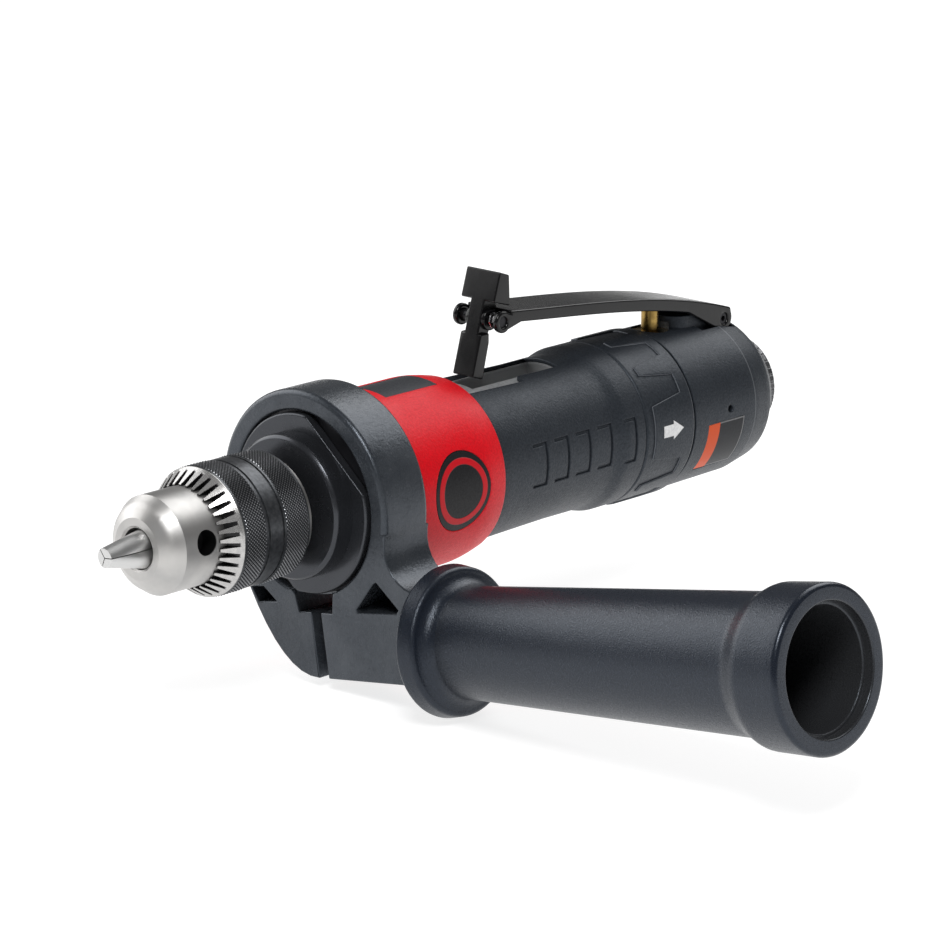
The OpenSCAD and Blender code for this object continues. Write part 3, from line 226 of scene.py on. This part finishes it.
def eased(node, piece_name, finish, body, slot, *roundings):
    """Stands a copy of a CAD node in its place, shaded smooth. Each rounding is what round_off takes."""
    shape = copied(node)
    for rounding in roundings:
        round_off(shape, *rounding)
    for face in shape.faces:
        face.smooth = True
    for edge in shape.edges:
        edge.smooth = edge.is_manifold and edge.calc_face_angle() < creased_from
    piece = place(piece_name, shape, finish, body)
    piece.modifiers.new("normals", "WEIGHTED_NORMAL").keep_sharp = True
    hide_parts(node)


nylon_dark = (0.010, 0.0122, 0.0155)
housing = moulded("housing_black", nylon_dark, (0.024, 0.0285, 0.035),
                  roughness=0.42, grain=1800.0, depth=0.00020)
parting_x = 0.0200
fade = 0.0001
parting = abs(housing.here.axis(0) - parting_x).ramp(fade, 3 * fade, 1.0, 0.0)
housing.feed(Base_Color=parting.tint(housing.colour, (0.085, 0.090, 0.097)))
eased("rear_housing", "housing_moulding", housing, "housing", "housing_black", (0.0003,))

label = Finish("label_blank", Specular_IOR_Level=0.16)
label_rear_x, label_front_x, strip_x = 0.0249, 0.0401, 0.0353
label_top, label_foot = math.radians(-4.0), math.radians(-42.0)
half_length, half_angle = (label_front_x - label_rear_x) / 2, (label_top - label_foot) / 2
rim_length, rim_length_full = 0.00055, 0.00035
rim_angle, rim_angle_full = 0.0206, 0.0126
along = abs(label.here.axis(0) - (label_rear_x + label_front_x) / 2)
across = abs(label.here.round_spindle() - (label_top + label_foot) / 2)
end_rim = along.ramp(half_length - rim_length, half_length - rim_length_full)
side_rim = across.ramp(half_angle - rim_angle, half_angle - rim_angle_full)
strip = label.here.axis(0).ramp(strip_x - fade, strip_x + fade)
fibre = label.here.noise(1500.0)
plain = fibre.spread().tint((0.010, 0.011, 0.013), (0.018, 0.019, 0.023))
edged = (end_rim.larger(side_rim) * (1 - strip)).tint(plain, (0.16, 0.16, 0.165))
label.feed(Base_Color=strip.tint(edged, (0.62, 0.075, 0.012)),
           Roughness=fibre.spread(0.30, 0.40),
           Normal=fibre.bump(0.15, 0.00003))
label.dress("label_blank", "label_plate")

# Air inlet: a blackened steel bushing with a fluted rim, screwed into the housing over a rubber seal.
# A perforated screen keeps dirt out of the valve.
tool_mark = 0.000012


def turned(name, colour, roughness, metallic=1.0):
    """Turned metal: tool marks round the axis, and a patchy polish."""
    finish = Finish(name, Base_Color=colour, Metallic=metallic)
    marks = finish.here.axis(0).lines(9000.0) + finish.here.noise(5200.0) * 0.5
    finish.feed(Roughness=finish.here.noise(160.0, 3.0).spread(roughness - 0.05, roughness + 0.07),
                Normal=marks.bump(0.35, tool_mark))
    return finish


bushing = Finish("inlet_black", Metallic=0.6)
glint_fleck = bushing.here.noise(1500.0).ramp(0.52, 0.72)
# The bright flecks are painted glints, standing in for the light that the fluted rim reflects.
bushing.feed(Base_Color=glint_fleck.tint((0.075, 0.075, 0.080), (0.20, 0.202, 0.208)),
             Roughness=glint_fleck.ramp(0.0, 1.0, 0.32, 0.20),
             Normal=bushing.here.noise(2600.0).bump(0.4, 0.00004))
bushing.dress("dark_steel", "inlet_bushing")

steel = turned("steel", (0.42, 0.42, 0.43), 0.28)
steel.dress("steel", "inlet_screen")

rubber = Finish("seal_rubber", Base_Color=(0.008, 0.008, 0.008), Specular_IOR_Level=0.3)
rubber.feed(Roughness=rubber.here.noise(700.0).spread(0.55, 0.70),
            Normal=rubber.here.noise(3000.0).bump(0.3, 0.00003))
rubber.dress("seal_rubber", "inlet_seal")

# Throttle valve: a brass pin slides in a brass guide pressed into the housing and opens a rubber head
# below its seat against a spring. A blackened plug with a hexagon socket closes the bore underneath.
brass = Finish("brass", Metallic=1.0)
drawn = brass.here.axis(0).lines(5200.0) + brass.here.axis(1).lines(5200.0)
tarnish = brass.here.noise(420.0, 3.0)
brass.feed(Base_Color=tarnish.ramp(0.35, 0.70).tint((0.36, 0.24, 0.075), (0.20, 0.13, 0.04)),
           Roughness=tarnish.spread(0.24, 0.38),
           Normal=drawn.bump(0.3, 0.00002))
brass.dress("brass", "valve_pin", "valve_guide")

spring_wire = Finish("spring_wire", Base_Color=(0.55, 0.55, 0.56), Metallic=1.0)
spring_wire.feed(Roughness=spring_wire.here.noise(900.0).spread(0.16, 0.30))
coil = place("valve_coil", copied("valve_spring"), spring_wire, "housing")
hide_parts("valve_spring")
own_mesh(coil)
steel.dress("steel", "valve_seat")
rubber.dress("seal_rubber", "valve_head")

blackened = turned("blackened_steel", (0.022, 0.022, 0.025), 0.34, metallic=0.75)
blackened.dress("dark_steel", "valve_plug")

# Throttle lever: a pressed steel channel with a bowed top, electro-coated gloss black, on a hollow pin.
# The press leaves its edges round, and the coat has a slight orange peel.
lever = Finish("lever_black", Base_Color=(0.004, 0.004, 0.0045), Specular_IOR_Level=0.34)
lever.feed(Roughness=lever.here.noise(60.0, 3.0).spread(0.17, 0.27),
           Normal=lever.here.noise(520.0).bump(0.12, 0.00012))
eased("throttle_lever", "lever_pressing", lever, "lever", "lever_black", (0.0005,))
blackened.dress("steel", "pivot_pin")

# Lock-off latch: a black casting on a steel pin in the lever's fork, held upright by a torsion spring.
# Its leg stands in the slot of the motor case until the thumb folds the head forward.
eased("lock_lever", "latch_casting", lever, "lock", "lever_black", (0.0004,))
blackened.dress("steel", "lock_pin")
spring_wire.dress("spring_steel", "lock_spring")

# Motor case: a bare aluminium casting, with painted shade a little darker in the slot for the latch's leg.
# A felt muffler lies in its waist under the exhaust ring.
case = Finish("aluminium", Metallic=0.5)
case_skin, shade_below = 0.0201, 0.0004
outside = case.here.off_spindle().ramp(case_skin - shade_below, case_skin)
casting = case.here.noise(1300.0, 3.0)
bare = casting.spread().tint((0.34, 0.35, 0.36), (0.50, 0.51, 0.52))
# Below its outer skin the case is painted darker, as painted shade in the slot.
case.feed(Base_Color=outside.tint((0.30, 0.305, 0.31), bare),
          Roughness=casting.spread(0.28, 0.42),
          Normal=casting.bump(0.3, 0.00004))
case.dress("aluminium", "motor_case")

felt = Finish("felt", Roughness=0.9, Specular_IOR_Level=0.2)
hair = felt.here.noise(1800.0, 4.0, 0.7)
felt.feed(Base_Color=hair.spread().tint((0.16, 0.15, 0.13), (0.30, 0.28, 0.24)),
          Normal=hair.bump(0.8, 0.0002))
felt.dress("felt", "muffler_felt")

# Vane motor: a ground cylinder with an offset bore between two end plates, and a slotted rotor on
# ball bearings. Fibre vanes slide in the slots.
steel.dress("steel", "motor_cylinder", "front_plate", "rear_plate", "front_rotor_bearing",
            "rear_rotor_bearing", "rotor")
vane = Finish("vane_fibre", Roughness=0.55)
weave = vane.here.noise(1500.0, 4.0, 0.7)
vane.feed(Base_Color=weave.spread().tint((0.08, 0.042, 0.02), (0.16, 0.09, 0.045)),
          Normal=weave.bump(0.4, 0.00004))
vane.dress("vane_fibre", "rotor_vanes")

# Grip: a moulded sleeve over the motor case, with bracket-shaped grooves for the fingers.
# The exhaust ring behind it turns to aim the spent air. Its raised pads are pale along their edges,
# partly rubbed wear and partly a painted highlight, and it carries a painted white arrow.
grip_light = (0.026, 0.0305, 0.037)
grip = moulded("grip_black", nylon_dark, grip_light, roughness=0.44, grain=1700.0, depth=0.00020)
eased("grip_cover", "grip_moulding", grip, "housing", "grip_black", (0.0003,))
ring = moulded("ring_black", nylon_dark, grip_light, roughness=0.42, grain=1700.0, depth=0.00016)
ring_floor, ring_top = 0.02275, 0.02312
height = ring.here.off_spindle()
rubbed_and_highlit_edge = height.ramp(ring_floor, ring_floor + fade) * height.ramp(ring_top - fade, ring_top, 1.0, 0.0)
# The pad walls are painted pale, partly as rubbed wear and partly as a painted highlight.
ring.feed(Base_Color=rubbed_and_highlit_edge.tint(ring.colour, (0.105, 0.112, 0.125)))
eased("exhaust_ring", "ring_moulding", ring, "exhaust", "grip_black", (0.0004,))

paint = Finish("arrow_white", Roughness=0.5)
chalk = paint.here.noise(1600.0, 3.0)
paint.feed(Base_Color=chalk.ramp(0.3, 0.75).tint((0.80, 0.80, 0.80), (0.62, 0.62, 0.63)),
           Normal=chalk.bump(0.3, 0.00003))
paint.dress("arrow_white", "flow_arrow")

# Red band: a moulded ring over the gear case, between the grip and the clamp collar.
# A plain oval badge lies on its near side, and a dark window on its top.
band = moulded("band_red", (0.56, 0.0022, 0.0072), (0.74, 0.0034, 0.0105),
               roughness=0.40, grain=1700.0, depth=0.00012, gloss=0.2)
eased("red_band", "band_moulding", band, "housing", "band_red", (0.0004,))

badge = Finish("badge_black", Specular_IOR_Level=0.22)
badge_x, badge_angle, badge_half = 0.1410, math.radians(2.0), 0.01015
badge_radius = 0.0252
ring_share, ring_half, ring_foot = 0.79, 0.075, 0.095
aside = (badge.here.axis(0) - badge_x) * (1.0 / badge_half)
upward = (badge.here.round_spindle() - badge_angle) * (badge_radius / badge_half)
red_ring = abs(aside.hypot(upward) - ring_share).ramp(ring_half, ring_foot, 1.0, 0.0)
speckle = badge.here.noise(2000.0, 3.0)
plain_black = speckle.spread().tint((0.006, 0.006, 0.007), (0.013, 0.013, 0.015))
badge.feed(Base_Color=red_ring.tint(plain_black, (0.56, 0.004, 0.012)),
           Roughness=speckle.spread(0.52, 0.40),
           Normal=(speckle * 0.2 + red_ring).bump(0.5, 0.0002))
badge.dress("pad_grey", "badge_pad")
window = moulded("window_grey", (0.016, 0.017, 0.020), (0.034, 0.036, 0.040),
                 roughness=0.45, grain=2000.0, depth=0.00005)
window.dress("pad_grey", "window_pad")

# Gear case, planetary gears and nose: the case holds the ring gear and the front bearing, and a
# blackened nose cap with wrench flats screws in over them. The carrier's spindle comes out through
# the cap to the chuck.
blackened.dress("dark_steel", "gear_case")
steel.dress("steel", "ring_gear", "planet_1", "planet_2", "planet_3", "planet_pins", "spindle",
            "bearing_outer", "bearing_inner", "bearing_balls")
nose = turned("nose_black", (0.048, 0.051, 0.058), 0.24, metallic=0.7)
eased("nose_cap", "nose_turning", nose, "housing", "dark_steel", (0.0003,))

# Keyed chuck: three hardened jaws slide in inclined bores of a satin steel body. The blackened sleeve
# drives them through a nut inside, and has bevel teeth for the key, ground bright, and two bands of
# diamond knurling.
chuck = Finish("chuck_steel", Metallic=1.0)
chuck_skin, hole_end_x = 0.01245, 0.2250
shade_below_skin = chuck.here.off_spindle().ramp(chuck_skin - fade, chuck_skin, 1.0, 0.0)
behind_cone = chuck.here.axis(0).ramp(hole_end_x, hole_end_x + fade, 1.0, 0.0)
smear = chuck.here.noise(120.0, 3.0)
satin = smear.spread().tint((0.53, 0.52, 0.505), (0.43, 0.425, 0.42))
lathe_marks = chuck.here.axis(0).lines(7000.0) + chuck.here.noise(4200.0) * 0.5
# Below the body's skin and behind the cone, the key holes and bores are painted dark as painted shade.
chuck.feed(Base_Color=(shade_below_skin * behind_cone).tint(satin, (0.05, 0.05, 0.052)),
           Roughness=smear.spread(0.40, 0.48),
           Normal=lathe_marks.bump(0.30, tool_mark))
eased("chuck_body", "chuck_turning", chuck, "spindle", "chuck_steel")

jaw = turned("jaw_steel", (0.62, 0.62, 0.615), 0.38)
jaw.dress("chuck_steel", "jaw_1", "jaw_2", "jaw_3")

sleeve = Finish("sleeve_black", Metallic=0.8)
teeth_x, teeth_radius, teeth_slope = 0.2100, 0.0165, 0.666
ground_x = 0.20985
land_depth, flank_depth = 0.00012, 0.00030
tip_radius = teeth_radius - (sleeve.here.axis(0) - teeth_x) * teeth_slope
land = (tip_radius - sleeve.here.off_spindle()).ramp(land_depth, flank_depth, 1.0, 0.0)
ground = sleeve.here.axis(0).ramp(ground_x - fade, ground_x + fade)
stain = sleeve.here.noise(900.0, 3.0)
oxide = stain.spread().tint((0.058, 0.061, 0.066), (0.105, 0.110, 0.118))
bright = stain.spread().tint((0.54, 0.53, 0.52), (0.44, 0.435, 0.43))
# Below the lands the flanks are painted darker than the oxide, as painted shade between the teeth.
teeth = land.tint((0.030, 0.030, 0.031), bright)
sleeve.feed(Base_Color=ground.tint(oxide, teeth),
            Roughness=ground.ramp(0.0, 1.0, 0.36, 0.27),
            Normal=(sleeve.here.axis(0).lines(8000.0) + stain).bump(0.3, 0.00002))
sleeve.dress("dark_steel", "chuck_sleeve")
steel.dress("steel", "chuck_nut")
blackened.dress("dark_steel", "chuck_screw")

knurl_pitch = 0.00096
knurl_height = 0.00024
knurl_sink = 0.00012


def knurled_band(piece_name, rear, front, rear_radius, front_radius):
    """A rolled band of diamonds: every other point of a fine grid stands up, and grooves join the rest."""
    shape = bmesh.new()
    along = 2 * round((front - rear) / knurl_pitch)
    around = 2 * round(2 * math.pi * front_radius / knurl_pitch)
    bmesh.ops.create_grid(shape, x_segments=along, y_segments=around, size=0.5)
    valleys = []
    for point in shape.verts:
        i = round((point.co.x + 0.5) * along)
        j = round((point.co.y + 0.5) * around)
        share = i / along
        radius = rear_radius + (front_radius - rear_radius) * share
        if i in (0, along):
            radius -= knurl_sink
        elif (i + j) % 2:
            radius += knurl_height
        if (i + j) % 2 == 0:
            valleys.append(point)
        angle = 2 * math.pi * j / around
        point.co = (rear + (front - rear) * share, radius * math.cos(angle), radius * math.sin(angle))
    bmesh.ops.connect_verts(shape, verts=valleys)
    bmesh.ops.remove_doubles(shape, verts=shape.verts, dist=weld)
    bmesh.ops.recalc_face_normals(shape, faces=shape.faces)
    knurl_wear_and_light = Finish(piece_name + "_black", Metallic=0.85)
    skin = knurl_wear_and_light.here.axis(0).ramp(rear, front, rear_radius, front_radius)
    peak = (knurl_wear_and_light.here.off_spindle() - skin).ramp(0.3 * knurl_height, 0.9 * knurl_height)
    # The peaks are painted bright, partly rubbed wear and partly a painted highlight, and the valleys dark
    # as painted shade.
    knurl_wear_and_light.feed(Base_Color=peak.tint((0.022, 0.024, 0.027), (0.36, 0.365, 0.38)),
                Roughness=peak.ramp(0.0, 1.0, 0.40, 0.22))
    place(piece_name, shape, knurl_wear_and_light, "sleeve")


knurled_band("knurl_front", rear=0.20235, front=0.20945, rear_radius=0.0165, front_radius=0.0165)
knurled_band("knurl_rear", rear=0.18770, front=0.19590, rear_radius=0.0162, front_radius=0.0165)

# Clamp collar: glass-filled nylon, split below, drawn round the nose by a bolt that the side handle
# screws on to. Fibres near the skin give it a faint sparkle, and dust dulls it in patches.
collar = Finish("collar_nylon", Specular_IOR_Level=0.52, Specular_Tint=cool_sheen)
fibres = collar.here.noise(950.0, 5.0, 0.7)
spark = collar.here.noise(2600.0).ramp(0.62, 0.72)
worn = collar.here.noise(70.0, 4.0).ramp(0.4, 0.7)
dust = collar.here.noise(55.0, 5.0, 0.65).ramp(0.42, 0.68, 0.0, 0.75)
clean = fibres.spread().tint((0.012, 0.0145, 0.018), (0.031, 0.036, 0.043))
dusty = dust.tint(clean, (0.050, 0.055, 0.062))
collar.feed(Base_Color=spark.tint(dusty, (0.060, 0.063, 0.070)),
            Roughness=fibres.spread(0.34, 0.20) - worn * 0.05,
            Normal=fibres.bump(0.55, 0.00018))
bore_rim = (0.0009, 0.0238, 0.0242)
other_edges = (0.0004,)
eased("clamp_collar", "collar_moulding", collar, "clamp", "collar_nylon", bore_rim, other_edges)
steel.dress("steel", "clamp_bolt", "thrust_washer")

# Side handle: a hollow nylon grip with a flange at the collar and a rolled end. Its mould is blasted,
# which leaves a fine sparkle, and the hollow is painted lighter as painted light reaching inside it. A
# brass insert moulded into its foot takes the clamp bolt.
handle = Finish("handle_nylon", Specular_IOR_Level=0.48, Specular_Tint=cool_sheen)
handle_x, handle_z, handle_end = 0.1663, -0.0354, 0.1600
handle_tilt = math.radians(9.1)
tilt_cos, tilt_sin = math.cos(handle_tilt), math.sin(handle_tilt)
bore_mouth, bore_taper = 0.0162, 0.02
lip_start, lip_full = 0.0014, 0.0008
reach = handle.here.axis(1) * tilt_cos + handle.here.axis(2) * tilt_sin
rise = handle.here.axis(2) * tilt_cos - handle.here.axis(1) * tilt_sin - handle_z
off_handle = (handle.here.axis(0) - handle_x).hypot(rise)
untapered = off_handle + (handle_end - reach) * bore_taper
painted_bore_light = untapered.ramp(bore_mouth, bore_mouth + 2 * fade, 1.0, 0.0)
lip = reach.ramp(handle_end - lip_start, handle_end - lip_full)
blast = handle.here.noise(2600.0, 2.0, 0.6)
blasted = blast.spread().tint((0.004, 0.0056, 0.0095), (0.013, 0.017, 0.0265))
# Inside the bore the colour is painted lighter, as painted light reaching into the hollow.
handle.feed(Base_Color=painted_bore_light.tint(blasted, (0.024, 0.025, 0.027)),
            Roughness=blast.spread(0.40, 0.24) - lip * 0.06,
            Normal=(blast * (1 - lip * 0.7)).bump(0.70, 0.00013))
eased("side_handle", "handle_moulding", handle, "handle", "handle_nylon", (0.0004,))
brass.dress("brass", "handle_insert")

# Studio: a white floor under the tool, and soft boxes behind it, at the picture's left and in front,
# in a dim room. The camera stands where the photo's did.
camera = bpy.data.objects.new("camera", bpy.data.cameras.new("camera"))
bpy.context.collection.objects.link(camera)
camera.data.lens = 152.86
camera.data.sensor_width = 36.0
camera.data.clip_start = 0.05
camera.data.clip_end = 20.0
camera.location = (0.86297, 0.70183, 0.27867)
view_line = Vector((-0.7051, -0.6572, -0.2662))
camera.rotation_mode = "QUATERNION"
camera.rotation_quaternion = view_line.to_track_quat("-Z", "Y")
bpy.context.scene.camera = camera
bpy.context.scene.view_settings.view_transform = "Standard"

floor_half, floor_drop = 6.0, 0.0005
floor_shape = bmesh.new()
bmesh.ops.create_grid(floor_shape, x_segments=1, y_segments=1, size=floor_half,
                      matrix=Matrix.Translation((0, 0, low.z - floor_drop)))
floor_mesh = bpy.data.meshes.new("floor")
floor_shape.to_mesh(floor_mesh)
floor_shape.free()
floor = bpy.data.objects.new("floor", floor_mesh)
bpy.context.collection.objects.link(floor)
white = Finish("floor_white", Base_Color=(0.40, 0.40, 0.40), Roughness=0.9, Specular_IOR_Level=0.1,
               Emission_Color=(1.0, 1.0, 1.0), Emission_Strength=0.78)
floor_mesh.materials.append(white.material)
floor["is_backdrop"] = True

world = bpy.data.worlds.new("studio")
bpy.context.scene.world = world
world.use_nodes = True
room = world.node_tree.nodes["Background"]
room.inputs["Color"].default_value = (1.0, 1.0, 1.0, 1.0)
room.inputs["Strength"].default_value = 0.12

middle = Vector((0.14, 0.04, 0.0))


def soft_box(name, towards, distance, size, power):
    """A round soft box that stands off from the tool and is aimed at it."""
    light = bpy.data.objects.new(name, bpy.data.lights.new(name, "AREA"))
    light.data.shape = "DISK"
    light.data.size = size
    light.data.energy = power
    light.location = middle + distance * Vector(towards).normalized()
    light.rotation_mode = "QUATERNION"
    light.rotation_quaternion = (-Vector(towards)).to_track_quat("-Z", "Y")
    bpy.context.collection.objects.link(light)


soft_box("back_box", towards=(-0.70, -0.05, 0.70), distance=1.3, size=1.1, power=9.0)
soft_box("left_box", towards=(0.25, -0.85, 0.42), distance=1.5, size=1.5, power=15.0)
soft_box("front_box", towards=(0.50, 0.40, 0.80), distance=1.5, size=0.55, power=15.0)

low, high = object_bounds()
